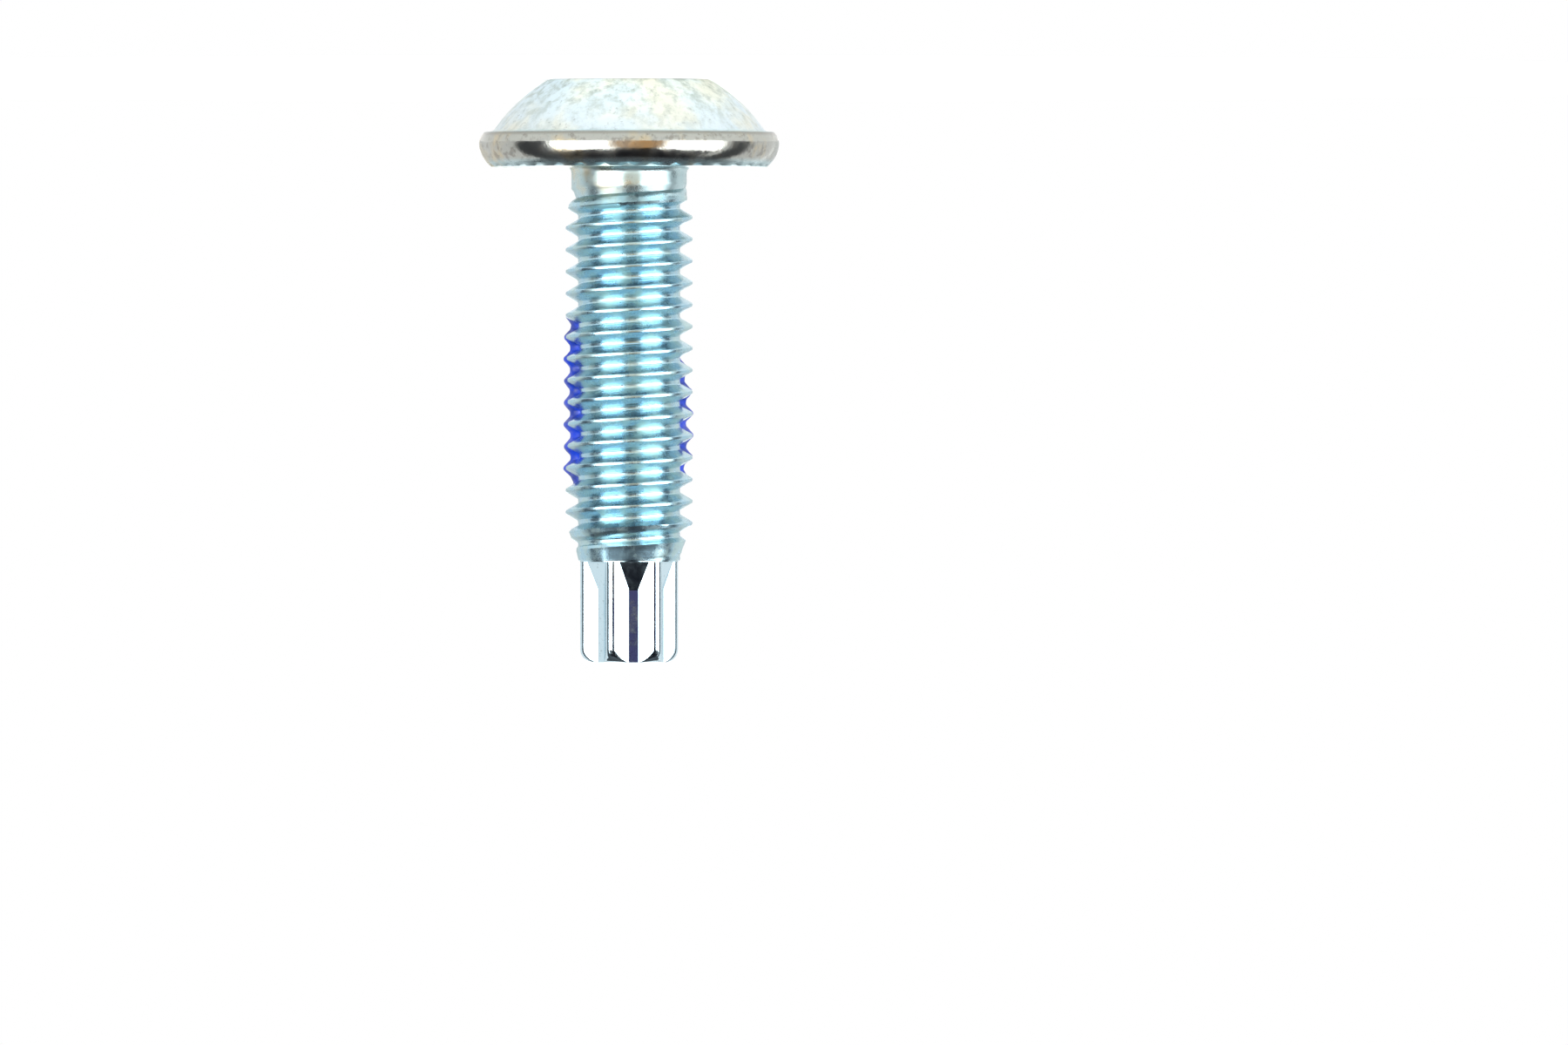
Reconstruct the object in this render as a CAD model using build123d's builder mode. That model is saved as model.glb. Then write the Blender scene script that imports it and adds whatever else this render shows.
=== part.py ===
from build123d import *

import os
from math import cos, pi, radians, sqrt, tan

# Flanged self-drilling screw with a machine thread, standing on its head. The origin is
# the centre of the head's flat top, and +Z runs along the axis to the point. Millimetres.

# ---- Head ------------------------------------------------------------------------------
head_height = 4.0  # flat top to bearing face
head_top_dia = 7.4  # the flat in the middle of the dome
dome_base_dia = 12.5  # where the dome meets the flange
flange_thickness = 1.6
flange_dia = 13.76  # widest ring of the rolled rim
flange_edge_dia = 13.26  # rim's edge on the dome side
rim_shoulder_dia = 13.6  # between the edge on the dome side and the widest ring
rim_shoulder_height = 1.4
rim_belt_height = 1.1  # widest ring, over the bearing face
rim_turn_dia = 13.52  # the rolled rim turns in, towards the bearing face
rim_turn_height = 0.55
rim_edge_dia = 13.06  # end of the rolled rim, where the broken edge starts
rim_edge_height = 0.2
bearing_dia = 12.6  # flat face between the neck and the broken edge
dome_root_break = 0.2
neck_root_radius = 0.28  # rounding between neck and flange

# ---- Serrations under the flange -------------------------------------------------------
serration_count = 36
serration_width = 0.5  # at the edge of the bearing face
serration_depth = 0.14
serration_length = 1.9

# ---- Six-lobe drive recess -------------------------------------------------------------
lobe_count = 6
lobe_tip_dia = 5.6
lobe_valley_dia = 4.0
lobe_tip_radius = 0.45
recess_depth = 2.6
recess_floor_drop = 0.45  # cone left by the punch
recess_entry_chamfer = 0.12

# ---- Shank and rolled thread -----------------------------------------------------------
neck_dia = 5.28  # blank left plain under the head
neck_length = 0.78
neck_cone = 0.99  # length in which the blank falls to the thread's root
core_length = 17.6  # bearing face to the end of the thread's core
pitch = 1.0
crest_dia = 5.82
root_dia = 4.66
crest_flat = 0.125
flank_angle = 60.0
first_crest = 0.8  # height of the thread's start on the +X side, from the bearing face
head_fade_start = 1.3  # crest leaves the blank's diameter, from the bearing face
head_fade_end = 2.33  # crest is whole from here
point_fade_start = 16.2  # crest is whole up to here
point_fade_end = 17.5  # crest is gone from here
thread_sections = 16  # sections in one turn of the ridge and sides of its core

# ---- Fluted point ----------------------------------------------------------------------
collar_length = 0.48  # core to the shoulder of the flutes
collar_dia = 4.72
point_dia = 4.5
point_length = 4.77
point_corner_height = 0.77  # the rounded end starts, from the tip
point_corner_mid = (2.116, 0.392)  # radius and height from the tip, half way round
point_face_edge = (1.774, 0.183)  # where the rounding meets the end's shallow crown
point_face_mid = (0.9, 0.047)
flute_count = 6
flute_angle = 121.0
flute_floor_width = 0.45
flute_floor_radius = 1.63
flute_start_radius = 1.89  # floor at the shoulder, before it ramps in
flute_ramp = 1.24
flute_turn = -97.5  # one flute's direction about the axis, from +X towards +Y

# ---- Locking patch ---------------------------------------------------------------------
patch_start = 6.4  # lower edge at the middle of the patch, from the bearing face
patch_end = 15.6
patch_side_start = 10.9  # where the patch's two sides end, seen square to its middle
patch_side_end = 13.7
patch_taper = 0.35  # fall of its two edges on the way to the sides
patch_direction = 80.0  # middle of the patch, from +X towards +Y
patch_reach = 0.71  # how far it wraps past the axis, seen square to its middle
patch_crest_cover = 0.14  # skin over the thread's crest
patch_root_fill = 0.39  # depth of nylon in the thread's root
patch_flank_cover = 0.10

# ---- Heights along the axis ------------------------------------------------------------
bearing_z = head_height
flange_top_z = bearing_z - flange_thickness
belt_z = bearing_z - rim_belt_height
neck_end_z = bearing_z + neck_length
core_start_z = neck_end_z + neck_cone
core_end_z = bearing_z + core_length
shoulder_z = core_end_z + collar_length
tip_z = shoulder_z + point_length

head_top_r = head_top_dia / 2
dome_base_r = dome_base_dia / 2
neck_r = neck_dia / 2
crest_r = crest_dia / 2
root_r = root_dia / 2
collar_r = collar_dia / 2
point_r = point_dia / 2
ridge_bury = 0.06  # how far the ridge reaches into the core


def ridge_half_width(radius):
    """Half the ridge's width along the axis, at a radius."""
    return crest_flat / 2 + (crest_r - radius) * tan(radians(flank_angle / 2))


# ---- Thread ridge ----------------------------------------------------------------------
def crest_radius(height):
    """Radius of the crest at a height over the bearing face, where it fades at both ends."""
    head_slope = (crest_r - neck_r) / (head_fade_end - head_fade_start)
    point_slope = (crest_r - root_r) / (point_fade_end - point_fade_start)
    return min(
        crest_r,
        neck_r + (height - head_fade_start) * head_slope,
        root_r + (point_fade_end - height) * point_slope,
    )


def ridge(start_height, end_height, inner_r, crest_cover, flank_cover):
    """Loft a ridge along the thread's helix, through flat sections about the axis."""
    first = round((start_height - first_crest) / pitch * thread_sections)
    last = round((end_height - first_crest) / pitch * thread_sections)
    with BuildPart() as lofted:
        for number in range(first, last + 1):
            turns = number / thread_sections
            height = first_crest + turns * pitch
            top_r = crest_radius(height)
            inner_half = ridge_half_width(inner_r) + flank_cover
            top_half = ridge_half_width(top_r) + flank_cover
            section_plane = Plane(
                origin=(0, 0, bearing_z + height),
                x_dir=Vector(1, 0, 0).rotate(Axis.Z, 360 * turns),
                z_dir=Vector(0, -1, 0).rotate(Axis.Z, 360 * turns),
            )
            with BuildSketch(section_plane):
                Polygon(
                    (inner_r, -inner_half),
                    (top_r + crest_cover, -top_half),
                    (top_r + crest_cover, top_half),
                    (inner_r, inner_half),
                    align=None,
                )
        loft(ruled=True)
    return lofted.part


thread_ridge = ridge(first_crest, point_fade_end, root_r - ridge_bury, 0, 0)

# ---- Cutter for one flute, along +X ----------------------------------------------------
flute_end_z = tip_z + pitch
wall_slope = tan(radians(flute_angle / 2))
mouth_r = point_r + ridge_bury
mouth_half_width = flute_floor_width / 2 + (mouth_r - flute_floor_radius) * wall_slope

with BuildPart() as flute_cutter:
    with BuildSketch(Plane.XY.offset(shoulder_z)):
        with BuildLine():
            Polyline(
                (flute_floor_radius, -flute_floor_width / 2),
                (mouth_r, -mouth_half_width),
                (mouth_r, mouth_half_width),
                (flute_floor_radius, flute_floor_width / 2),
                close=True,
            )
        make_face()
    extrude(amount=flute_end_z - shoulder_z)
    with BuildSketch(Plane.XZ):
        with BuildLine():
            Polyline(
                (flute_start_radius, shoulder_z),
                (flute_floor_radius, shoulder_z + flute_ramp),
                (flute_floor_radius, flute_end_z),
                (mouth_r, flute_end_z),
                (mouth_r, shoulder_z),
                close=True,
            )
        make_face()
    extrude(amount=point_dia, both=True, mode=Mode.INTERSECT)

# ---- Cutter for one serration groove, along +X -----------------------------------------
groove_start = Plane(
    origin=(bearing_dia / 2 - serration_length, 0, bearing_z),
    x_dir=(0, 1, 0),
    z_dir=(1, 0, -serration_depth / serration_length),
)

with BuildPart() as groove_cutter:
    with BuildSketch(groove_start):
        Polygon(
            (0, 0),
            (serration_width, 2 * serration_depth),
            (-serration_width, 2 * serration_depth),
            align=None,
        )
    extrude(amount=1.5 * serration_length)

# ---- Screw: one piece, forged, pointed and thread rolled -------------------------------
# The dome is a sphere about the axis, through the flat top's edge and the dome's base.
dome_centre_z = (dome_base_r**2 - head_top_r**2 + flange_top_z**2) / (2 * flange_top_z)
dome_radius = sqrt(head_top_r**2 + dome_centre_z**2)
neck_root_mid = neck_root_radius * (1 - sqrt(0.5))
# Inside the core the blank's cone runs on, so that the core's sides leave it cleanly.
inner_core_r = root_r - (neck_r - root_r) / 2
inner_core_z = core_start_z + neck_cone / 2


def six_lobe_outline():
    """Close a six-lobe outline from arcs tangent to each other, into the line that is open."""
    tip_centre = lobe_tip_dia / 2 - lobe_tip_radius
    half_step = pi / lobe_count
    valley_r = lobe_valley_dia / 2
    # The valley arc's radius follows from touching both tip arcs and the valley circle.
    valley_radius = (
        tip_centre**2 + valley_r**2 - 2 * tip_centre * valley_r * cos(half_step) - lobe_tip_radius**2
    ) / (2 * (lobe_tip_radius + tip_centre * cos(half_step) - valley_r))
    valley_centre = valley_r + valley_radius
    for lobe in range(lobe_count):
        tip_angle = 2 * half_step * lobe
        tip = Vector(tip_centre, 0).rotate(Axis.Z, tip_angle * 180 / pi)
        joints = []
        for side in (-1, 1):
            valley = Vector(valley_centre, 0).rotate(Axis.Z, (tip_angle + side * half_step) * 180 / pi)
            joints.append(tip + (valley - tip).normalized() * lobe_tip_radius)
        crown = Vector(lobe_tip_dia / 2, 0).rotate(Axis.Z, tip_angle * 180 / pi)
        ThreePointArc(joints[0], crown, joints[1])
        low = Vector(valley_r, 0).rotate(Axis.Z, (tip_angle + half_step) * 180 / pi)
        next_joint = joints[0].rotate(Axis.Z, 2 * half_step * 180 / pi)
        ThreePointArc(joints[1], low, next_joint)


with BuildPart() as screw:
    with BuildSketch(Plane.XZ) as profile:
        # The roundings of the rim, neck and tip are drawn by points on their arcs.
        with BuildLine():
            Polyline(
                (neck_r, bearing_z + neck_root_radius),
                (neck_r, neck_end_z),
                (root_r, core_start_z),
                (inner_core_r, inner_core_z),
                (inner_core_r, core_end_z),
                (collar_r, core_end_z),
                (point_r, shoulder_z),
                (point_r, tip_z - point_corner_height),
                (point_corner_mid[0], tip_z - point_corner_mid[1]),
                (point_face_edge[0], tip_z - point_face_edge[1]),
                (point_face_mid[0], tip_z - point_face_mid[1]),
                (0, tip_z),
                (0, 0),
                (head_top_r, 0),
            )
            RadiusArc((head_top_r, 0), (dome_base_r, flange_top_z), -dome_radius)
            Polyline(
                (dome_base_r, flange_top_z),
                (flange_edge_dia / 2, flange_top_z),
                (rim_shoulder_dia / 2, bearing_z - rim_shoulder_height),
                (flange_dia / 2, belt_z),
            )
            Polyline(
                (flange_dia / 2, belt_z),
                (rim_turn_dia / 2, bearing_z - rim_turn_height),
                (rim_edge_dia / 2, bearing_z - rim_edge_height),
                (bearing_dia / 2, bearing_z),
                (neck_r + neck_root_radius, bearing_z),
                (neck_r + neck_root_mid, bearing_z + neck_root_mid),
                (neck_r, bearing_z + neck_root_radius),
            )
        make_face()
        dome_root = profile.vertices().sort_by_distance((dome_base_r, flange_top_z))[0]
        chamfer(dome_root, dome_root_break)
    revolve(axis=Axis.Z)

    # The thread's core has flat sides, one between two sections of the ridge.
    with BuildSketch(Plane.XY.offset(neck_end_z)):
        RegularPolygon(root_r, thread_sections)
    extrude(amount=core_end_z - neck_end_z)
    add(thread_ridge)

    # Six flutes, each between two lands of the point.
    with PolarLocations(0, flute_count, start_angle=flute_turn):
        add(flute_cutter.part, mode=Mode.SUBTRACT)

    with PolarLocations(0, serration_count):
        add(groove_cutter.part, mode=Mode.SUBTRACT)

    # Drive recess, punched into the flat top, with a broken edge and a coned floor.
    with BuildSketch(Plane.XY):
        with BuildLine():
            six_lobe_outline()
        make_face()
    extrude(amount=recess_depth, mode=Mode.SUBTRACT)
    top_edges = screw.edges().filter_by_position(Axis.Z, 0, 0)
    chamfer(top_edges.filter_by(lambda edge: edge.radius < head_top_r), recess_entry_chamfer)
    with BuildSketch(Plane.XZ):
        with BuildLine():
            Polyline(
                (0, recess_depth - pitch),
                (0, recess_depth + recess_floor_drop),
                (lobe_valley_dia / 2, recess_depth),
                (lobe_valley_dia / 2, recess_depth - pitch),
                close=True,
            )
        make_face()
    revolve(axis=Axis.Z, mode=Mode.SUBTRACT)

screw.part.label = "screw"

# ---- Locking patch: nylon fused to the back of the thread ------------------------------
patch_root_r = root_r + patch_root_fill
thick_ridge = ridge(
    patch_start - pitch,
    patch_end + pitch,
    patch_root_r - ridge_bury,
    patch_crest_cover,
    patch_flank_cover,
)
patch_plane = Plane(
    origin=(0, 0, 0),
    x_dir=Vector(1, 0, 0).rotate(Axis.Z, patch_direction),
    z_dir=Vector(0, -1, 0).rotate(Axis.Z, patch_direction),
)

with BuildPart() as locking_patch:
    with BuildSketch(Plane.XY):
        RegularPolygon(patch_root_r, thread_sections)
    extrude(amount=tip_z)
    add(thick_ridge)
    # Its outline, drawn square to the patch's middle, runs off past the thread's far side.
    with BuildSketch(patch_plane):
        with BuildLine():
            Polyline(
                (-patch_reach / 2, bearing_z + patch_side_start),
                (patch_reach, bearing_z + patch_start + patch_taper),
                (2 * crest_r, bearing_z + patch_start),
                (2 * crest_r, bearing_z + patch_end),
                (patch_reach, bearing_z + patch_end - patch_taper),
                (-patch_reach / 2, bearing_z + patch_side_end),
                (-patch_reach, bearing_z + (patch_side_start + patch_side_end) / 2),
                close=True,
            )
        make_face()
    extrude(amount=2 * crest_r, both=True, mode=Mode.INTERSECT)
    add(screw.part, mode=Mode.SUBTRACT)

locking_patch.part.label = "locking_patch"

# ---- Write one file for each piece -----------------------------------------------------
os.makedirs("parts", exist_ok=True)
export_step(screw.part, "parts/screw.step")
export_step(locking_patch.part, "parts/locking_patch.step")
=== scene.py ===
"""Self drilling screw: domed flanged head, machine thread, fluted point and a nylon locking patch.

The screw stands on its head at the origin, and +Z runs along its axis to the point.
"""

import math

import bmesh
import bpy
from bpy.props import FloatProperty, FloatVectorProperty, IntProperty, PointerProperty
from mathutils import Matrix, Vector, noise


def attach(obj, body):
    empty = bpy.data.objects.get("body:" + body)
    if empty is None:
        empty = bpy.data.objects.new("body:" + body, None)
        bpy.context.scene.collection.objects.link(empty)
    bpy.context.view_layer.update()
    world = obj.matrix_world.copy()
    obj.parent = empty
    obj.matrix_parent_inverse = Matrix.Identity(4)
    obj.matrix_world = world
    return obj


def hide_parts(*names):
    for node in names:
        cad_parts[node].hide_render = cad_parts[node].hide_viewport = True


bl_info = {
    "name": "Self drilling screw",
    "version": (1, 0, 0),
    "blender": (4, 5, 0),
    "location": "View3D > Sidebar > Screw",
    "description": "Models a flanged self drilling screw and its nylon locking patch",
    "category": "Add Mesh",
}

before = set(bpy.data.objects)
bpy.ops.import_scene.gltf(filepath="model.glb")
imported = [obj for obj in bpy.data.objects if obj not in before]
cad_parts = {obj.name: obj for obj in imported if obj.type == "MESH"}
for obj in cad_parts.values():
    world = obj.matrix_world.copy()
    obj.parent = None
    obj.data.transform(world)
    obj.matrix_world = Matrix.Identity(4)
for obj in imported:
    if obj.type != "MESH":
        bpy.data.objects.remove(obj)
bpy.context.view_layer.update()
MM = 0.001


def linear(hex_code):
    """Turn an sRGB hex value into the linear colour that a shader takes."""
    channels = [int(hex_code[i : i + 2], 16) / 255 for i in (1, 3, 5)]
    return [c / 12.92 if c <= 0.04045 else ((c + 0.055) / 1.055) ** 2.4 for c in channels]


def length(name, description, millimetres):
    """A length property, given in millimetres."""
    return FloatProperty(
        name=name,
        description=description,
        default=millimetres * MM,
        min=0.0,
        unit="LENGTH",
        precision=5,
    )


def degrees(name, description, turn):
    """An angle property, given in degrees."""
    return FloatProperty(
        name=name, description=description, default=math.radians(turn), subtype="ANGLE"
    )


def count(name, description, number, least):
    """A whole number property."""
    return IntProperty(name=name, description=description, default=number, min=least)


def colour(name, description, hex_code):
    """A colour property, given as an sRGB hex value."""
    return FloatVectorProperty(
        name=name,
        description=description,
        default=linear(hex_code),
        min=0.0,
        max=1.0,
        size=3,
        subtype="COLOR",
    )


# ---- Sizes and colours -----------------------------------------------------------------
class HeadSizes(bpy.types.PropertyGroup):
    """Sizes of the domed head, its flange and its drive recess."""

    bearing_height: length("Bearing face height", "From the flat top to the face that clamps", 4.0)
    top_radius: length("Flat top radius", "Radius of the flat in the middle of the dome", 3.7)
    dome_radius: length("Dome radius", "Radius of the dome's sphere", 7.46)
    serration_depth: length("Serration depth", "Depth of a groove at the face's edge", 0.14)
    serration_start: length("Serration start", "Radius at which the grooves start", 4.4)
    serrations: count("Serrations", "Grooves round the bearing face", 36, 4)
    recess_depth: length("Recess depth", "Depth of the six-lobe recess", 2.6)
    lobe_radius: length("Lobe radius", "Centre of the recess to the tip of a lobe", 2.8)
    valley_radius: length("Valley radius", "Centre of the recess to the wall between lobes", 2.0)
    lobe_rounding: length("Lobe rounding", "Radius of a lobe's tip", 0.45)


class ThreadSizes(bpy.types.PropertyGroup):
    """Sizes of the rolled thread."""

    pitch: length("Pitch", "From one crest to the next", 1.0)
    crest_radius: length("Crest radius", "Radius over the thread's crests", 2.91)
    root_radius: length("Root radius", "Radius in the thread's roots", 2.33)
    neck_radius: length("Neck radius", "Radius of the plain neck under the head", 2.64)
    crest_flat: length("Crest flat", "Width of the crest", 0.125)
    first_crest: length("First crest", "Height of a crest at +X, over the bearing face", 0.8)
    steps: count("Steps", "Sections in one turn", 144, 36)


class PointSizes(bpy.types.PropertyGroup):
    """Sizes of the fluted drilling point."""

    radius: length("Point radius", "Radius over the lands", 2.25)
    shoulder: length("Shoulder height", "Where the flutes start, over the bearing face", 18.08)
    end: length("End height", "End of the point, over the bearing face", 22.85)
    floor_radius: length("Flute floor radius", "Axis to the floor of a flute", 1.63)
    floor_width: length("Flute floor width", "Width of a flute's floor", 0.45)
    start_radius: length("Flute start radius", "Axis to the floor of a flute at the shoulder", 1.89)
    ramp: length("Flute ramp", "Length in which a flute falls to its full depth", 1.24)
    edge_rounding: length("Edge rounding", "Rounding's length on each side of a land's edge", 0.24)
    flutes: count("Flutes", "Flutes round the point", 6, 2)
    flute_angle: degrees("Flute angle", "Angle between a flute's walls", 121)
    flute_turn: degrees("Flute turn", "Direction of one flute about the axis", -97.5)


class PatchSizes(bpy.types.PropertyGroup):
    """Sizes of the nylon locking patch."""

    direction: degrees("Direction", "Middle of the patch about the axis", 80)
    half_wrap: degrees("Half wrap", "Angle from the patch's middle to its side", 99)
    start: length("Start", "Lower edge at the middle, over the bearing face", 6.4)
    end: length("End", "Upper edge at the middle, over the bearing face", 15.6)
    side_height: length("Side height", "Height of the patch's sides, over the bearing face", 12.3)
    root_radius: length("Root radius", "Radius over the nylon in a root", 2.7)
    crest_radius: length("Crest radius", "Radius over the nylon on a crest", 3.01)


class Finishes(bpy.types.PropertyGroup):
    """Colours of the plated steel and of the nylon."""

    thread_blue: colour("Thread blue", "Passivate film on the rolled thread", "#A2C7D8")
    thread_teal: colour("Thread teal", "Thinner film on the thread", "#B2CED0")
    point_zinc: colour("Point", "Thin film on the polished point", "#C8E0EA")
    neck_zinc: colour("Neck", "Film on the plain neck", "#B6CED2")
    dome_pale: colour("Dome, pale", "Barrel-tumbled zinc on the dome", "#DDE0DA")
    dome_blue: colour("Dome, blue", "Faint blue film on the dome", "#D3DEE4")
    dome_grey: colour("Dome, grey", "Tumbling marks on the dome", "#AEB8B4")
    rim_grey: colour("Rim", "Zinc on the rolled rim", "#AFB1AB")
    # The dark rim colour is both grime in blotches and painted shade along the seam between the rim
    # and the dome.
    rim_grime_and_shade: colour("Rim, dark", "Darker film and grime on the rim", "#7E7A72")
    straw: colour("Straw tint", "Film where it looks straw yellow", "#CFBB8E")
    specks: colour("Specks", "Dull specks in the plating", "#828C8E")
    nylon: colour("Nylon", "Thick nylon", "#0935B0")
    nylon_deep: colour("Deep nylon", "Nylon in hollows", "#042882")
    floor: colour("Floor", "Floor under the screw", "#F4F4F2")


# ---- Work with Blender's operators -----------------------------------------------------
def deselect_all():
    if bpy.context.mode != "OBJECT":
        bpy.ops.object.mode_set(mode="OBJECT")
    bpy.ops.object.select_all(action="DESELECT")


def make_active(piece):
    deselect_all()
    piece.select_set(True)
    bpy.context.view_layer.objects.active = piece


def edit(piece):
    """Open a piece in edit mode with nothing selected."""
    make_active(piece)
    bpy.ops.object.mode_set(mode="EDIT")
    bpy.ops.mesh.select_all(action="DESELECT")


def leave_edit():
    bpy.ops.object.mode_set(mode="OBJECT")


def apply_modifier(piece, kind, **settings):
    """Add a modifier with its settings and apply it."""
    make_active(piece)
    modifier = piece.modifiers.new(kind.title(), kind)
    for key, value in settings.items():
        setattr(modifier, key, value)
    bpy.ops.object.modifier_apply(modifier=modifier.name)


def add_circle(name, vertices, radius, height):
    """Add an open circle about the axis, with its place in its mesh."""
    deselect_all()
    bpy.ops.mesh.primitive_circle_add(
        vertices=vertices, radius=radius, fill_type="NOTHING", location=(0, 0, height)
    )
    piece = bpy.context.object
    piece.name = name
    bpy.ops.object.transform_apply(location=True, rotation=True, scale=True)
    return piece


def extrude_rings(piece, rings):
    """Extrude the piece's open ring through more rings, each a function of the angle."""
    edit(piece)
    bpy.ops.mesh.select_all(action="SELECT")
    for ring in rings:
        bpy.ops.mesh.extrude_region_move()
        mesh = bmesh.from_edit_mesh(piece.data)
        for vertex in mesh.verts:
            if vertex.select:
                angle = math.atan2(vertex.co.y, vertex.co.x)
                radius, height = ring(angle)
                vertex.co = (radius * math.cos(angle), radius * math.sin(angle), height)
        bmesh.update_edit_mesh(piece.data)
    leave_edit()


def close_last_ring(piece, height):
    """Draw the selected ring in to one point on the axis."""
    make_active(piece)
    bpy.ops.object.mode_set(mode="EDIT")
    bpy.ops.mesh.extrude_region_move()
    bpy.ops.mesh.merge(type="CENTER")
    mesh = bmesh.from_edit_mesh(piece.data)
    for vertex in mesh.verts:
        if vertex.select:
            vertex.co = (0, 0, height)
    bmesh.update_edit_mesh(piece.data)
    leave_edit()


def bridge_gap(piece, low, high):
    """Bridge the two open rings that lie between two heights."""
    edit(piece)
    mesh = bmesh.from_edit_mesh(piece.data)
    for edge in mesh.edges:
        if edge.is_boundary and all(low <= vertex.co.z <= high for vertex in edge.verts):
            edge.select_set(True)
    bmesh.update_edit_mesh(piece.data)
    bpy.ops.mesh.bridge_edge_loops()
    leave_edit()


def finish_mesh(piece, angle):
    """Merge doubles, turn the faces outwards and shade by angle."""
    edit(piece)
    bpy.ops.mesh.select_all(action="SELECT")
    bpy.ops.mesh.remove_doubles(threshold=1e-7)
    bpy.ops.mesh.normals_make_consistent(inside=False)
    leave_edit()
    bpy.ops.object.shade_smooth_by_angle(angle=math.radians(angle))


# ---- Thread ----------------------------------------------------------------------------
def thread_profile(thread):
    """One pitch of the thread, from root to root: (distance from the crest, radius)."""
    root, crest, half = thread.root_radius, thread.crest_radius, thread.pitch / 2
    slope = math.tan(math.radians(60))  # each flank leans 60 degrees from the axis

    def flank(share):
        return (share * half, crest - (share * half - thread.crest_flat / 2) * slope)

    side = [
        # The root is rounded.
        (half, root),
        (0.86 * half, root + 0.004 * MM),
        (0.78 * half, root + 0.025 * MM),
        flank(0.71),
        flank(0.42),
        flank(0.17),
        # The crest's edge is rounded.
        (0.11 * half, crest - 0.011 * MM),
    ]
    return [(-offset, radius) for offset, radius in side] + [(0, crest)] + side[::-1]


def add_thread_tube(name, thread, bearing, first_crest, turns):
    """Screw one pitch of the thread round the axis for some turns, as an open tube."""
    profile = thread_profile(thread)
    tube = add_circle(name, len(profile), thread.root_radius, 0)
    edit(tube)
    mesh = bmesh.from_edit_mesh(tube.data)
    mesh.verts.ensure_lookup_table()
    for vertex, (offset, radius) in zip(mesh.verts, profile):
        vertex.co = (radius, 0, bearing + first_crest + offset)
    closing = mesh.edges.get((mesh.verts[-1], mesh.verts[0]))
    closing.select_set(True)
    bmesh.update_edit_mesh(tube.data)
    bpy.ops.mesh.delete(type="EDGE")
    leave_edit()
    apply_modifier(
        tube,
        "SCREW",
        axis="Z",
        angle=2 * math.pi,
        screw_offset=thread.pitch,
        iterations=turns,
        steps=thread.steps,
        render_steps=thread.steps,
    )
    edit(tube)
    bpy.ops.mesh.select_all(action="SELECT")
    bpy.ops.mesh.remove_doubles(threshold=1e-6)
    leave_edit()
    return tube


def cut_tube(tube, height, keep_above):
    """Cut an open tube square to the axis."""
    edit(tube)
    bpy.ops.mesh.select_all(action="SELECT")
    bpy.ops.mesh.bisect(
        plane_co=(0, 0, height),
        plane_no=(0, 0, 1),
        clear_inner=keep_above,
        clear_outer=not keep_above,
        threshold=1e-4 * MM,
    )
    leave_edit()


def blend_between(value, points):
    """Straight lines through (value, result) points."""
    for (x0, y0), (x1, y1) in zip(points, points[1:]):
        if value <= x1:
            return y0 + (y1 - y0) * max(0.0, (value - x0) / (x1 - x0))
    return points[-1][1]


def add_thread(head, thread):
    """Thread from the plain neck to the collar, with its crests fading at both ends."""
    bearing = head.bearing_height
    turns = 19
    start, end = 0.34 * MM, 18.02 * MM  # over the bearing face, as all heights below
    tube = add_thread_tube("thread", thread, bearing, thread.first_crest - thread.pitch, turns)
    root, neck, crest = thread.root_radius, thread.neck_radius, thread.crest_radius
    # Both are (height, radius): no surface lies inside the core or outside the limit.
    core = [
        (0.0, neck),
        (0.78 * MM, neck),
        (1.77 * MM, root),
        (17.35 * MM, root),
        # The collar is a slight cone towards the flutes.
        (17.5 * MM, 2.43 * MM),
        (17.56 * MM, 2.42 * MM),
        (17.95 * MM, 2.275 * MM),
        (18.05 * MM, 2.255 * MM),
    ]
    limit = [
        (1.3 * MM, neck),
        (2.33 * MM, crest),
        (16.3 * MM, crest),
        (17.5 * MM, 2.44 * MM),
        (18.5 * MM, 2.2 * MM),
    ]
    for vertex in tube.data.vertices:
        x, y, z = vertex.co
        height = z - bearing
        radius = math.hypot(x, y)
        shaped = max(min(radius, blend_between(height, limit)), blend_between(height, core))
        vertex.co = (x * shaped / radius, y * shaped / radius, z)
    cut_tube(tube, bearing + start, True)
    cut_tube(tube, bearing + end, False)
    return tube


# ---- Head ------------------------------------------------------------------------------
def lobe_outline(head):
    """Radius of the six-lobe recess as a function of the angle, from arcs that touch."""
    rounding, valley = head.lobe_rounding, head.valley_radius
    tip = head.lobe_radius - rounding
    step = math.pi / 6  # from a lobe to the wall beside it
    hollow = (tip**2 + valley**2 - 2 * tip * valley * math.cos(step) - rounding**2) / (
        2 * (rounding + tip * math.cos(step) - valley)
    )
    far = valley + hollow
    centre = Vector((far * math.cos(step), far * math.sin(step)))
    joint = Vector((tip, 0)) + (centre - Vector((tip, 0))).normalized() * rounding
    joint_angle = math.atan2(joint.y, joint.x)

    def radius(angle):
        turn = abs((angle + step) % (2 * step) - step)
        if turn < joint_angle:
            half_chord = math.sqrt(max(0.0, rounding**2 - (tip * math.sin(turn)) ** 2))
            return tip * math.cos(turn) + half_chord
        turn = step - turn
        return far * math.cos(turn) - math.sqrt(hollow**2 - (far * math.sin(turn)) ** 2)

    return radius


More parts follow.
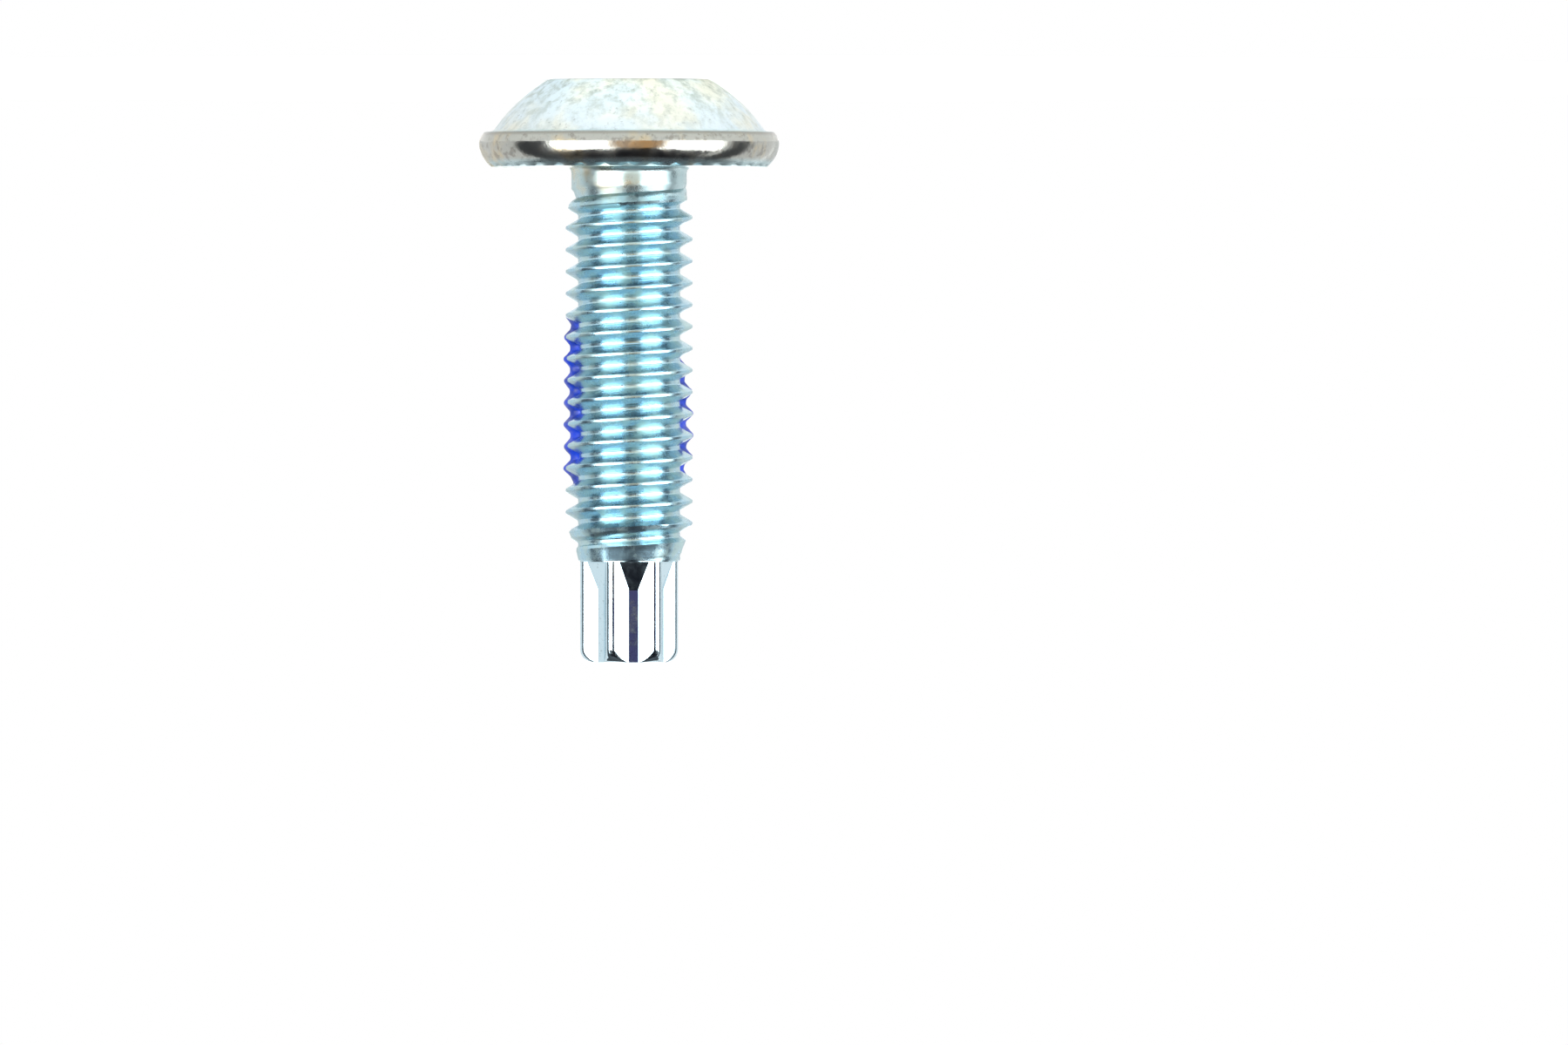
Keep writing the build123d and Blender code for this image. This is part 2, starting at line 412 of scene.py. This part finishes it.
def add_head(head, thread):
    """Neck root, bearing face with its serrations, rolled rim, dome, flat top and recess."""
    bearing = head.bearing_height
    neck = thread.neck_radius
    rounding = 0.28 * MM
    face_edge, groove_end = 6.3 * MM, 6.5 * MM
    outline = []  # (radius, depth under the bearing face)
    for turn in (0, 22.5, 45, 67.5, 90):
        a = math.radians(turn)
        outline.append((neck + rounding * (1 - math.cos(a)), -rounding * (1 - math.sin(a))))
    # The bearing face, and its broken edge.
    outline += [(r * MM, 0) for r in (3.4, 4.4, 4.9, 5.4, 5.9, 6.3)]
    outline += [(r * MM, d * MM) for r, d in ((6.35, 0.043), (6.42, 0.104), (6.476, 0.153))]
    # The rolled rim: a wide arc up to its widest ring and a tight one beyond it.
    belt_depth = 1.1
    for centre, arc_radius, side, turns in (
        (5.537, 1.333, -1, (42.5, 34, 25.5, 17, 8.5, 0)),
        (6.245, 0.625, 1, (9, 18, 27, 36, 45, 52)),
    ):
        for turn in turns:
            a = math.radians(turn)
            radius = centre + arc_radius * math.cos(a)
            depth = belt_depth + side * arc_radius * math.sin(a)
            outline.append((radius * MM, depth * MM))
    # The step from the rim to the dome.
    rim_step = ((6.6, 1.6), (6.5, 1.6), (6.36, 1.612), (6.27, 1.645), (6.19, 1.7))
    outline += [(r * MM, d * MM) for r, d in rim_step]
    centre = math.sqrt(head.dome_radius**2 - head.top_radius**2)
    for r in (6.05, 5.8, 5.5, 5.2, 4.9, 4.6, 4.3, 4.05, 3.85):
        outline.append((r * MM, bearing - centre + math.sqrt(head.dome_radius**2 - (r * MM) ** 2)))
    # The flat top, with a soft edge.
    outline += [(3.74 * MM, bearing - 0.022 * MM), (3.64 * MM, bearing), (3.2 * MM, bearing)]

    slope = head.serration_depth / (face_edge - head.serration_start)
    step = 2 * math.pi / head.serrations

    def ring(radius, depth):
        """Ring of the head, sunk where a groove of the bearing face is deeper."""
        groove = head.serration_depth + slope * (radius - face_edge)
        grooved = head.serration_start < radius < groove_end and depth < groove

        def place(angle):
            turn = abs((angle + step / 2) % step - step / 2)
            notch = max(0.0, 1 - 4 * turn / step)
            return radius, bearing - (max(depth, groove * notch) if grooved else depth)

        return place

    lobe = lobe_outline(head)

    def lobe_ring(spread, depth):
        return lambda angle: (lobe(angle) + spread * MM, depth * MM)

    def round_ring(radius, depth):
        return lambda angle: (radius * MM, depth * MM)

    rings = [ring(*place) for place in outline[1:]]
    # The recess: broken edge, wall, and a floor coned by the punch.
    walls = ((0.12, 0.0), (0.0, 0.12), (0.0, 1.3), (0.0, 2.45), (-0.06, 2.6))
    rings += [lobe_ring(spread, depth) for spread, depth in walls]
    rings += [round_ring(1.85, 2.63), round_ring(0.9, 2.85)]
    floor_drop = 0.45 * MM
    piece = add_circle("head", thread.steps, neck, bearing + rounding)
    extrude_rings(piece, rings)
    close_last_ring(piece, head.recess_depth + floor_drop)
    return piece


# ---- Point -----------------------------------------------------------------------------
def flute_outline(point, bar_radius, floor_radius, height):
    """Places round the fluted bar at one height, from the middle of a land, round the axis."""
    lean = point.flute_angle / 2
    half_step = math.pi / point.flutes
    # Across and out from the middle of a flute: where its floor meets a wall, and the wall's
    # direction. A shallower floor is wider, because the walls stay where they are.
    half_floor = point.floor_width / 2 + (floor_radius - point.floor_radius) * math.tan(lean)
    corner = Vector((half_floor, floor_radius))
    along = Vector((math.sin(lean), math.cos(lean)))
    inner = corner.dot(along)
    edge = corner + along * (math.sqrt(inner**2 - corner.length_squared + bar_radius**2) - inner)
    edge_turn = math.atan2(edge.x, edge.y)
    # The rounding leaves some of the wall and of the land flat.
    wall, half_land = (edge - corner).length, bar_radius * (half_step - edge_turn)
    rounding = min(point.edge_rounding, 0.8 * wall, 0.95 * half_land)

    def on_bar(turn):
        return Vector((math.sin(turn), math.cos(turn))) * bar_radius

    start = edge_turn + rounding / bar_radius
    first, last = on_bar(start), edge - along * rounding
    half = [on_bar(half_step), on_bar((half_step + start) / 2)]
    pieces = 6
    for number in range(pieces + 1):
        t = number / pieces
        half.append((1 - t) ** 2 * first + 2 * t * (1 - t) * edge + t**2 * last)
    half += [last + (corner - last) * 0.12, corner]
    half += [Vector((corner.x * share, corner.y)) for share in (0.6, 0.25, 0)]
    flute = [(-place.x, place.y) for place in half]
    flute += [(place.x, place.y) for place in half[-2:0:-1]]
    places = []
    for number in range(point.flutes):
        axis = point.flute_turn + 2 * half_step * number
        for across, out in flute:
            x = out * math.cos(axis) - across * math.sin(axis)
            y = out * math.sin(axis) + across * math.cos(axis)
            places.append(Vector((x, y, height)))
    return places


def round_outline(places, radius, height):
    """The same number of places in the same directions, on a circle."""
    return [Vector((*(place.xy.normalized() * radius), height)) for place in places]


def extrude_outlines(piece, outlines):
    """Extrude the piece's open ring through outlines, each a list of places."""
    piece.data.attributes.new("number", "INT", "POINT")
    for number, place in enumerate(outlines[0]):
        piece.data.vertices[number].co = place
        piece.data.attributes["number"].data[number].value = number
    edit(piece)
    bpy.ops.mesh.select_all(action="SELECT")
    for outline in outlines[1:]:
        bpy.ops.mesh.extrude_region_move()
        mesh = bmesh.from_edit_mesh(piece.data)
        number = mesh.verts.layers.int["number"]
        for vertex in mesh.verts:
            if vertex.select:
                vertex.co = outline[vertex[number]]
        bmesh.update_edit_mesh(piece.data)
    leave_edit()
    piece.data.attributes.remove(piece.data.attributes["number"])


def add_point(head, point):
    """Fluted bar with rounded lands and a rounded end."""
    bearing = head.bearing_height
    shoulder = bearing + point.shoulder
    first = flute_outline(point, point.radius, point.start_radius, shoulder)
    outlines = [
        round_outline(first, point.radius + 0.005 * MM, shoulder - 0.05 * MM),
        round_outline(first, point.radius, shoulder - 0.01 * MM),
        first,
    ]
    # The floors fall to their full depth, with a ring close to each bend to keep it crisp.
    for share in (0.06, 0.94, 1.0):
        floor = point.start_radius + (point.floor_radius - point.start_radius) * share
        outlines.append(flute_outline(point, point.radius, floor, shoulder + point.ramp * share))
    for height in (shoulder + 1.06 * point.ramp, bearing + 21.9 * MM):
        outlines.append(flute_outline(point, point.radius, point.floor_radius, height))
    # The end: its rounding, and then a shallow crown.
    corner_radius, corner_height, end_rounding = 1.65 * MM, bearing + 22.08 * MM, 0.6 * MM
    for turn in (0, 13, 26, 39, 52, 65, 78, 90):
        a = math.radians(turn)
        radius = corner_radius + end_rounding * math.cos(a)
        height = corner_height + end_rounding * math.sin(a)
        outlines.append(flute_outline(point, radius, point.floor_radius, height))
    for radius, height in ((1.3, 22.76), (0.8, 22.815), (0.35, 22.84)):
        outlines.append(round_outline(outlines[-1], radius * MM, bearing + height * MM))
    piece = add_circle("point", len(first), point.radius, shoulder)
    extrude_outlines(piece, outlines)
    close_last_ring(piece, bearing + point.end)
    return piece


# ---- Materials -------------------------------------------------------------------------
def add_node(tree, kind, links=None, **settings):
    """Add a node with its settings and its inputs, given as values or as sockets."""
    node = tree.nodes.new(kind)
    for key, value in settings.items():
        setattr(node, key, value)
    for key, value in (links or {}).items():
        if isinstance(value, bpy.types.NodeSocket):
            tree.links.new(value, node.inputs[key])
        else:
            node.inputs[key].default_value = value
    return node


def mix_colours(tree, factor, first, second):
    """Mix two colours, given as values or as sockets."""
    links = {0: factor}
    for key, value in ((6, first), (7, second)):
        links[key] = (*value, 1.0) if hasattr(value, "__len__") else value
    return add_node(tree, "ShaderNodeMix", links, data_type="RGBA").outputs[2]


def ramp_between(tree, value, low, high, result_low=0.0, result_high=1.0):
    """Map a value from one range to another, smoothly and clamped."""
    links = {"Value": value, 1: low, 2: high, 3: result_low, 4: result_high}
    return add_node(tree, "ShaderNodeMapRange", links, interpolation_type="SMOOTHSTEP").outputs[0]


def maths(tree, operation, first, second=0.0):
    return add_node(tree, "ShaderNodeMath", {0: first, 1: second}, operation=operation).outputs[0]


def scale(tree, value, factor):
    return maths(tree, "MULTIPLY", value, factor)


def seen_directly(tree):
    """1 for the rays that see a surface or mirror it, and 0 for those that light others."""
    path = add_node(tree, "ShaderNodeLightPath")
    seen = maths(tree, "MAXIMUM", path.outputs["Is Camera Ray"], path.outputs["Is Glossy Ray"])
    return maths(tree, "MAXIMUM", seen, path.outputs["Is Transmission Ray"])


def noise_pattern(tree, place, size, detail=2.0, roughness=0.5):
    """Noise whose blobs are about as large as a size in metres."""
    links = {"Vector": place, "Scale": 1 / size, "Detail": detail, "Roughness": roughness}
    return add_node(tree, "ShaderNodeTexNoise", links).outputs[0]


def new_material(name):
    material = bpy.data.materials.new(name)
    material.use_nodes = True
    material.node_tree.nodes.clear()
    return material, material.node_tree


def finish_material(tree, links, normal):
    shader = add_node(tree, "ShaderNodeBsdfPrincipled", {**links, "Normal": normal})
    add_node(tree, "ShaderNodeOutputMaterial", {"Surface": shader.outputs[0]})


def zinc_material(finishes):
    # Bright zinc plate over rolled steel, with a clear blue passivate: a mirror dulled by
    # fine grain. The thin film gives its blue and straw tints, and tumbling its dull specks.
    material, tree = new_material("zinc_plated_steel")
    place = add_node(tree, "ShaderNodeTexCoord").outputs["Object"]
    split = add_node(tree, "ShaderNodeSeparateXYZ", {"Vector": place})
    height = split.outputs["Z"]
    flat = {"X": split.outputs["X"], "Y": split.outputs["Y"]}
    across = add_node(tree, "ShaderNodeCombineXYZ", flat).outputs[0]
    distance = add_node(tree, "ShaderNodeVectorMath", {0: across}, operation="LENGTH")
    radius = distance.outputs["Value"]

    drift = noise_pattern(tree, place, 2.6 * MM, 3.0, 0.6)  # the film's tints
    blotch = noise_pattern(tree, place, 0.9 * MM, 4.0, 0.65)  # dull and bright patches
    mottle = noise_pattern(tree, place, 0.45 * MM, 4.0, 0.7)  # tumbling marks and grime
    specks = noise_pattern(tree, place, 0.22 * MM, 3.0, 0.7)
    # The grain is coarser than the real one, so that it shows.
    grain = noise_pattern(tree, place, 0.07 * MM, 2.0)

    # Where each finish lies, by height over the flat top and by distance from the axis.
    in_thread = ramp_between(tree, height, 4.9 * MM, 6.0 * MM)
    on_dome = ramp_between(tree, height, 2.5 * MM, 2.3 * MM)
    on_point = ramp_between(tree, height, 21.9 * MM, 22.2 * MM)
    over_dome = ramp_between(tree, height, 2.3 * MM, 2.5 * MM)
    on_rim = maths(tree, "MULTIPLY", ramp_between(tree, radius, 6.45 * MM, 6.7 * MM), over_dome)

    cool = ramp_between(tree, drift, 0.4, 0.6)
    warm = ramp_between(tree, drift, 0.5, 0.34)
    dome = mix_colours(tree, cool, finishes.dome_pale, finishes.dome_blue)
    # The dome's marks are denser towards its top.
    dull_marks = ramp_between(tree, blotch, 0.4, 0.66, 0.0, 0.5)
    small_marks = ramp_between(tree, mottle, 0.42, 0.68, 0.0, 0.4)
    density = ramp_between(tree, height, 0.4 * MM, 2.3 * MM, 1.0, 0.45)
    marks = maths(tree, "MULTIPLY", maths(tree, "ADD", dull_marks, small_marks), density)
    dome = mix_colours(tree, marks, dome, finishes.dome_grey)
    dome = mix_colours(tree, scale(tree, warm, 0.1), dome, finishes.straw)
    rim = mix_colours(tree, scale(tree, warm, 0.7), finishes.rim_grey, finishes.straw)
    # Painted shade lies along the seam between the dome and the rim, and grime lies in blotches on
    # the rim.
    seam_shade = ramp_between(tree, height, 2.62 * MM, 2.44 * MM, 0.0, 0.8)
    grime_and_seam_shade = maths(tree, "MAXIMUM", seam_shade, ramp_between(tree, mottle, 0.5, 0.64, 0.0, 0.6))
    rim = mix_colours(tree, grime_and_seam_shade, rim, finishes.rim_grime_and_shade)
    neck = mix_colours(tree, scale(tree, warm, 0.6), finishes.neck_zinc, finishes.straw)
    thinner = ramp_between(tree, blotch, 0.4, 0.65)
    thread = mix_colours(tree, thinner, finishes.thread_blue, finishes.thread_teal)
    colour_mix = mix_colours(tree, on_dome, neck, dome)
    colour_mix = mix_colours(tree, on_rim, colour_mix, rim)
    colour_mix = mix_colours(tree, in_thread, colour_mix, thread)
    colour_mix = mix_colours(tree, on_point, colour_mix, finishes.point_zinc)
    dull = scale(tree, ramp_between(tree, specks, 0.58, 0.74), 0.5)
    colour_mix = mix_colours(tree, dull, colour_mix, finishes.specks)

    # The tumbled dome is the dullest, and the point the brightest.
    rough = ramp_between(tree, blotch, 0.35, 0.68, 0.26, 0.4)
    rough = maths(tree, "ADD", rough, scale(tree, on_dome, 0.2))
    for region, change in ((in_thread, 0.05), (on_rim, 0.14), (on_point, 0.17)):
        rough = maths(tree, "SUBTRACT", rough, scale(tree, region, change))

    texture = maths(tree, "ADD", scale(tree, specks, 0.6), scale(tree, grain, 0.25))
    texture = maths(tree, "ADD", texture, blotch)
    relief = ramp_between(tree, on_point, 0.0, 1.0, 0.35, 0.16)
    relief = maths(tree, "ADD", relief, scale(tree, on_rim, 0.25))
    bump_links = {"Strength": relief, "Distance": 0.012 * MM, "Height": texture}
    bump = add_node(tree, "ShaderNodeBump", bump_links)
    links = {"Base Color": colour_mix, "Metallic": 1.0, "Roughness": rough}
    finish_material(tree, links, bump.outputs[0])
    return material


def nylon_material(finishes):
    # Nylon powder sprayed on and fused: a strong blue skin, smooth where it ran and grainy
    # where the powder only just melted.
    material, tree = new_material("blue_nylon")
    place = add_node(tree, "ShaderNodeTexCoord").outputs["Object"]
    cloud = noise_pattern(tree, place, 0.8 * MM, 3.0, 0.6)  # thick and thin places
    powder = noise_pattern(tree, place, 0.12 * MM, 3.0, 0.6)  # powder grains
    thick = ramp_between(tree, cloud, 0.38, 0.62)
    colour_mix = mix_colours(tree, thick, finishes.nylon_deep, finishes.nylon)
    rough = ramp_between(tree, powder, 0.35, 0.65, 0.32, 0.5)
    texture = maths(tree, "ADD", scale(tree, powder, 0.5), cloud)
    bump_links = {"Strength": 0.5, "Distance": 0.03 * MM, "Height": texture}
    bump = add_node(tree, "ShaderNodeBump", bump_links)
    links = {"Base Color": colour_mix, "Roughness": rough, "IOR": 1.53}
    finish_material(tree, links, bump.outputs[0])
    return material


def floor_material(finishes):
    # Matt painted board, a little uneven in tone.
    material, tree = new_material("matt_board")
    place = add_node(tree, "ShaderNodeTexCoord").outputs["Object"]
    tone = ramp_between(tree, noise_pattern(tree, place, 20 * MM), 0.3, 0.7)
    darker = [0.97 * c for c in finishes.floor]
    colour_mix = mix_colours(tree, tone, darker, finishes.floor)
    texture = noise_pattern(tree, place, 0.5 * MM)
    bump_links = {"Strength": 0.1, "Distance": 0.05 * MM, "Height": texture}
    bump = add_node(tree, "ShaderNodeBump", bump_links)
    links = {"Base Color": colour_mix, "Roughness": 0.85, "Normal": bump.outputs[0]}
    board = add_node(tree, "ShaderNodeBsdfPrincipled", links)
    # The floor is lifted towards white where it is seen or mirrored, and keeps its shadows.
    strength = scale(tree, seen_directly(tree), 0.34)
    lift = add_node(tree, "ShaderNodeEmission", {"Color": (1, 1, 1, 1), "Strength": strength})
    both = add_node(tree, "ShaderNodeAddShader", {0: board.outputs[0], 1: lift.outputs[0]})
    # From underneath the board lets the head and its recess be seen.
    clear = add_node(tree, "ShaderNodeBsdfTransparent")
    back = add_node(tree, "ShaderNodeNewGeometry").outputs["Backfacing"]
    links = {0: back, 1: both.outputs[0], 2: clear.outputs[0]}
    sided = add_node(tree, "ShaderNodeMixShader", links)
    add_node(tree, "ShaderNodeOutputMaterial", {"Surface": sided.outputs[0]})
    return material


def card_material(name, hex_code, glow):
    # Matt studio card, which may glow where no lamp reaches its face.
    material, tree = new_material(name)
    tint = (*linear(hex_code), 1.0)
    links = {
        "Base Color": tint,
        "Roughness": 1.0,
        "Emission Color": tint,
        "Emission Strength": glow,
    }
    shader = add_node(tree, "ShaderNodeBsdfPrincipled", links)
    add_node(tree, "ShaderNodeOutputMaterial", {"Surface": shader.outputs[0]})
    return material


# ---- Operators -------------------------------------------------------------------------
class SCREW_OT_steel(bpy.types.Operator):
    """Model the steel screw: head, thread and point as one piece"""

    bl_idname = "screw.steel"
    bl_label = "Steel screw"

    def execute(self, context):
        scene = context.scene
        head, thread, point = scene.screw_head, scene.screw_thread, scene.screw_point
        bearing = head.bearing_height
        parts = [add_thread(head, thread), add_head(head, thread), add_point(head, point)]
        make_active(parts[0])
        for part in parts:
            part.select_set(True)
        bpy.ops.object.join()
        piece = context.object
        piece.name = "steel_screw"
        # The open rings under the head and at the shoulder of the flutes.
        bridge_gap(piece, bearing + 0.2 * MM, bearing + 0.4 * MM)
        bridge_gap(piece, bearing + 17.9 * MM, bearing + 18.1 * MM)
        finish_mesh(piece, 27)
        piece.data.materials.clear()
        piece.data.materials.append(zinc_material(scene.screw_finishes))
        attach(piece, "root")
        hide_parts("screw")
        return {"FINISHED"}


class SCREW_OT_patch(bpy.types.Operator):
    """Model the nylon locking patch as a skin over the back of the thread"""

    bl_idname = "screw.patch"
    bl_label = "Locking patch"

    def execute(self, context):
        scene = context.scene
        head, thread, patch = scene.screw_head, scene.screw_thread, scene.screw_patch
        bearing = head.bearing_height
        before, turns = 4, 13  # turns of thread before the patch, and along it
        first_crest = thread.first_crest + before * thread.pitch
        piece = add_thread_tube("nylon_patch", thread, bearing, first_crest, turns)
        skin, edge_sink, outer_limit = 0.05 * MM, 0.02 * MM, 3.05 * MM
        fade = 0.8 * MM  # from the border to the full thickness
        side_reach = 6 * MM  # how far from a side the middle counts as being

        def cover(place):
            """Share of the full thickness at a place, 0 or less outside the patch."""
            angle = math.atan2(place.y, place.x) - patch.direction
            turn = (angle + math.pi) % (2 * math.pi) - math.pi
            wrap = abs(turn) / patch.half_wrap
            if wrap >= 1:
                return -1.0
            # The lower edge rises early towards one side and late towards the other.
            low_rise, high_fall = wrap ** (4 if turn > 0 else 11), wrap**5
            low = patch.start + (patch.side_height - patch.start) * low_rise
            high = patch.end - (patch.end - patch.side_height) * high_fall
            height = place.z - bearing
            inside = min(height - low, high - height, (1 - wrap) * side_reach)
            ragged = noise.noise(place * 900) * 0.22 * MM + noise.noise(place * 2600) * 0.1 * MM
            return (inside + ragged) / fade

        edit(piece)
        mesh = bmesh.from_edit_mesh(piece.data)
        covers = {vertex: cover(vertex.co) for vertex in mesh.verts}
        for face in mesh.faces:
            face.select_set(all(covers[vertex] < 0 for vertex in face.verts))
        bmesh.update_edit_mesh(piece.data)
        bpy.ops.mesh.select_mode(type="FACE")
        bpy.ops.mesh.delete(type="FACE")
        bpy.ops.mesh.select_mode(type="VERT")
        leave_edit()
        for vertex in piece.data.vertices:
            x, y, z = vertex.co
            share = min(1.0, max(0.0, cover(vertex.co)))
            share = share * share * (3 - 2 * share)
            turn = math.atan2(y, x) / (2 * math.pi)
            phase = (z - bearing - thread.first_crest) / thread.pitch - turn
            wave = 0.5 + 0.5 * math.cos(2 * math.pi * phase)
            full = patch.root_radius + (patch.crest_radius - patch.root_radius) * wave**1.3
            # The powder lies thinner on some crests than on others.
            full -= max(0.0, noise.noise(vertex.co * 700)) * 0.12 * MM * wave
            full += noise.noise(vertex.co * 1500) * 0.03 * MM
            radius = math.hypot(x, y)
            full = min(max(full, radius + skin), outer_limit)
            shaped = radius - edge_sink + share * (full - radius + edge_sink)
            vertex.co = (x * shaped / radius, y * shaped / radius, z)
        apply_modifier(piece, "SOLIDIFY", thickness=skin, offset=-1.0)
        finish_mesh(piece, 60)
        piece.data.materials.clear()
        piece.data.materials.append(nylon_material(scene.screw_finishes))
        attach(piece, "root")
        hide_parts("locking_patch")
        return {"FINISHED"}


def add_card(name, material, width, tall, centre, target):
    """Add a studio card that faces a target and that the camera doesn't see."""
    deselect_all()
    turn = (Vector(target) - Vector(centre)).to_track_quat("Z", "Y").to_euler()
    bpy.ops.mesh.primitive_plane_add(size=1, location=centre, rotation=turn)
    card = bpy.context.object
    card.name = name
    card.scale = (width, tall, 1)
    bpy.ops.object.transform_apply(location=True, rotation=True, scale=True)
    card.visible_camera = False
    card.visible_diffuse = False
    card.visible_shadow = False
    card.data.materials.append(material)


def add_softbox(name, width, tall, centre, target, power):
    """Add a soft lamp that faces a target."""
    deselect_all()
    turn = (Vector(target) - Vector(centre)).to_track_quat("-Z", "Y").to_euler()
    bpy.ops.object.light_add(type="AREA", location=centre, rotation=turn)
    lamp = bpy.context.object
    lamp.name = name
    lamp.data.shape = "RECTANGLE"
    lamp.data.size, lamp.data.size_y = width, tall
    lamp.data.energy = power
    return lamp


def around(azimuth, distance, height):
    """A place round the screw, with the azimuth from the camera towards its right."""
    a = math.radians(azimuth)
    return (-distance * math.sin(a), -distance * math.cos(a), height)


def add_upright_card(name, material, width, tall, azimuth, distance, height):
    """Add a card round the screw that faces the axis at its own height."""
    centre, target = around(azimuth, distance, height), around(azimuth, 0, height)
    add_card(name, material, width, tall, centre, target)


class SCREW_OT_stage(bpy.types.Operator):
    """Add the floor, the lamps, the cards they are mirrored beside, the world and the camera"""

    bl_idname = "screw.stage"
    bl_label = "Stage"

    def execute(self, context):
        scene = context.scene
        middle = (0, 0, 13 * MM)
        deselect_all()
        bpy.ops.mesh.primitive_circle_add(
            vertices=96, radius=60 * MM, fill_type="NGON", location=(0, 0, -0.01 * MM)
        )
        floor = context.object
        bpy.ops.object.transform_apply(location=True, rotation=True, scale=True)
        floor.name = "floor"
        floor.data.materials.append(floor_material(scene.screw_finishes))

        add_softbox("softbox_left", 0.39, 0.5, around(-38, 0.4, 0.02), middle, 3.4)
        add_softbox("softbox_right", 0.37, 0.5, around(52, 0.4, 0.02), middle, 3.4)
        add_softbox("softbox_back", 0.4, 0.4, around(170, 0.5, 0.15), middle, 0.6)
        # The metal mirrors these cards between the lamps, and nothing else shows them. An
        # upright one is given as width, tall, azimuth, distance and height.
        black = card_material("black_card", "#1B1B24", 0.0)
        dark = card_material("dark_grey_card", "#404246", 0.0)
        beige = card_material("beige_card", "#C8A27A", 0.5)
        grey = card_material("grey_card", "#9EA0A0", 0.5)
        violet = card_material("violet_card", "#453F63", 0.6)
        add_upright_card("dark_card", black, 0.19, 0.5, 7, 0.3, 0.25)
        add_card("left_card", dark, 0.22, 0.6, around(-80, 0.33, 0.1), middle)
        add_card("right_card", dark, 0.13, 0.6, around(97, 0.33, 0.1), middle)
        add_card("roof_card", dark, 0.6, 0.6, (0, 0, 0.35), middle)
        for number, azimuth in enumerate((-40, -8, 24, 56)):
            add_upright_card(f"brow_card_{number}", black, 0.04, 0.1, azimuth, 0.067, 0.088)
        for number, azimuth in enumerate((-161, 161)):
            add_upright_card(f"edge_card_{number}", grey, 0.1, 0.3, azimuth, 0.25, 0.1)
        add_upright_card("violet_card", violet, 0.09, 0.016, 15, 0.28, 0.0245)
        add_upright_card("beige_card", beige, 0.036, 0.021, 7, 0.043, 0.011)

        world = bpy.data.worlds.new("pale_world")
        scene.world = world
        world.use_nodes = True
        tree = world.node_tree
        tree.nodes.clear()
        # White where it is seen or mirrored, and dimmer as a light.
        strength = ramp_between(tree, seen_directly(tree), 0.0, 1.0, 0.45, 1.0)
        sky = add_node(tree, "ShaderNodeBackground", {"Color": (1, 1, 1, 1), "Strength": strength})
        add_node(tree, "ShaderNodeOutputWorld", {"Surface": sky.outputs[0]})

        # The screw is shown hanging point down, so the camera is rolled half a turn.
        distance, frame_width, sensor = 1.2, 71.77 * MM, 36.0
        location = (-7.09 * MM, -distance, 20.275 * MM)
        deselect_all()
        side = Matrix(((-1, 0, 0), (0, 0, -1), (0, -1, 0)))
        bpy.ops.object.camera_add(location=location, rotation=side.to_euler())
        camera = context.object
        camera.name = "camera"
        camera.data.sensor_width = sensor
        camera.data.lens = sensor * distance / frame_width
        camera.data.clip_start, camera.data.clip_end = 0.05, 10.0
        scene.camera = camera
        scene.view_settings.view_transform = "Standard"
        return {"FINISHED"}


# ---- Panel and registration ------------------------------------------------------------
GROUPS = {
    "screw_head": HeadSizes,
    "screw_thread": ThreadSizes,
    "screw_point": PointSizes,
    "screw_patch": PatchSizes,
    "screw_finishes": Finishes,
}
STEPS = (SCREW_OT_steel, SCREW_OT_patch, SCREW_OT_stage)


class SCREW_PT_panel(bpy.types.Panel):
    """Sizes, finishes and building steps of the screw"""

    bl_label = "Self drilling screw"
    bl_idname = "SCREW_PT_panel"
    bl_space_type = "VIEW_3D"
    bl_region_type = "UI"
    bl_category = "Screw"

    def draw(self, context):
        for step in STEPS:
            self.layout.operator(step.bl_idname)
        for name, group in GROUPS.items():
            box = self.layout.box()
            for key in group.__annotations__:
                box.prop(getattr(context.scene, name), key)


def register():
    for item in (*GROUPS.values(), *STEPS, SCREW_PT_panel):
        bpy.utils.register_class(item)
    for name, group in GROUPS.items():
        setattr(bpy.types.Scene, name, PointerProperty(type=group))


def unregister():
    for name in GROUPS:
        delattr(bpy.types.Scene, name)
    for item in reversed((*GROUPS.values(), *STEPS, SCREW_PT_panel)):
        bpy.utils.unregister_class(item)


def main():
    register()
    bpy.ops.screw.steel()
    bpy.ops.screw.patch()
    bpy.ops.screw.stage()


if __name__ == "__main__":
    main()
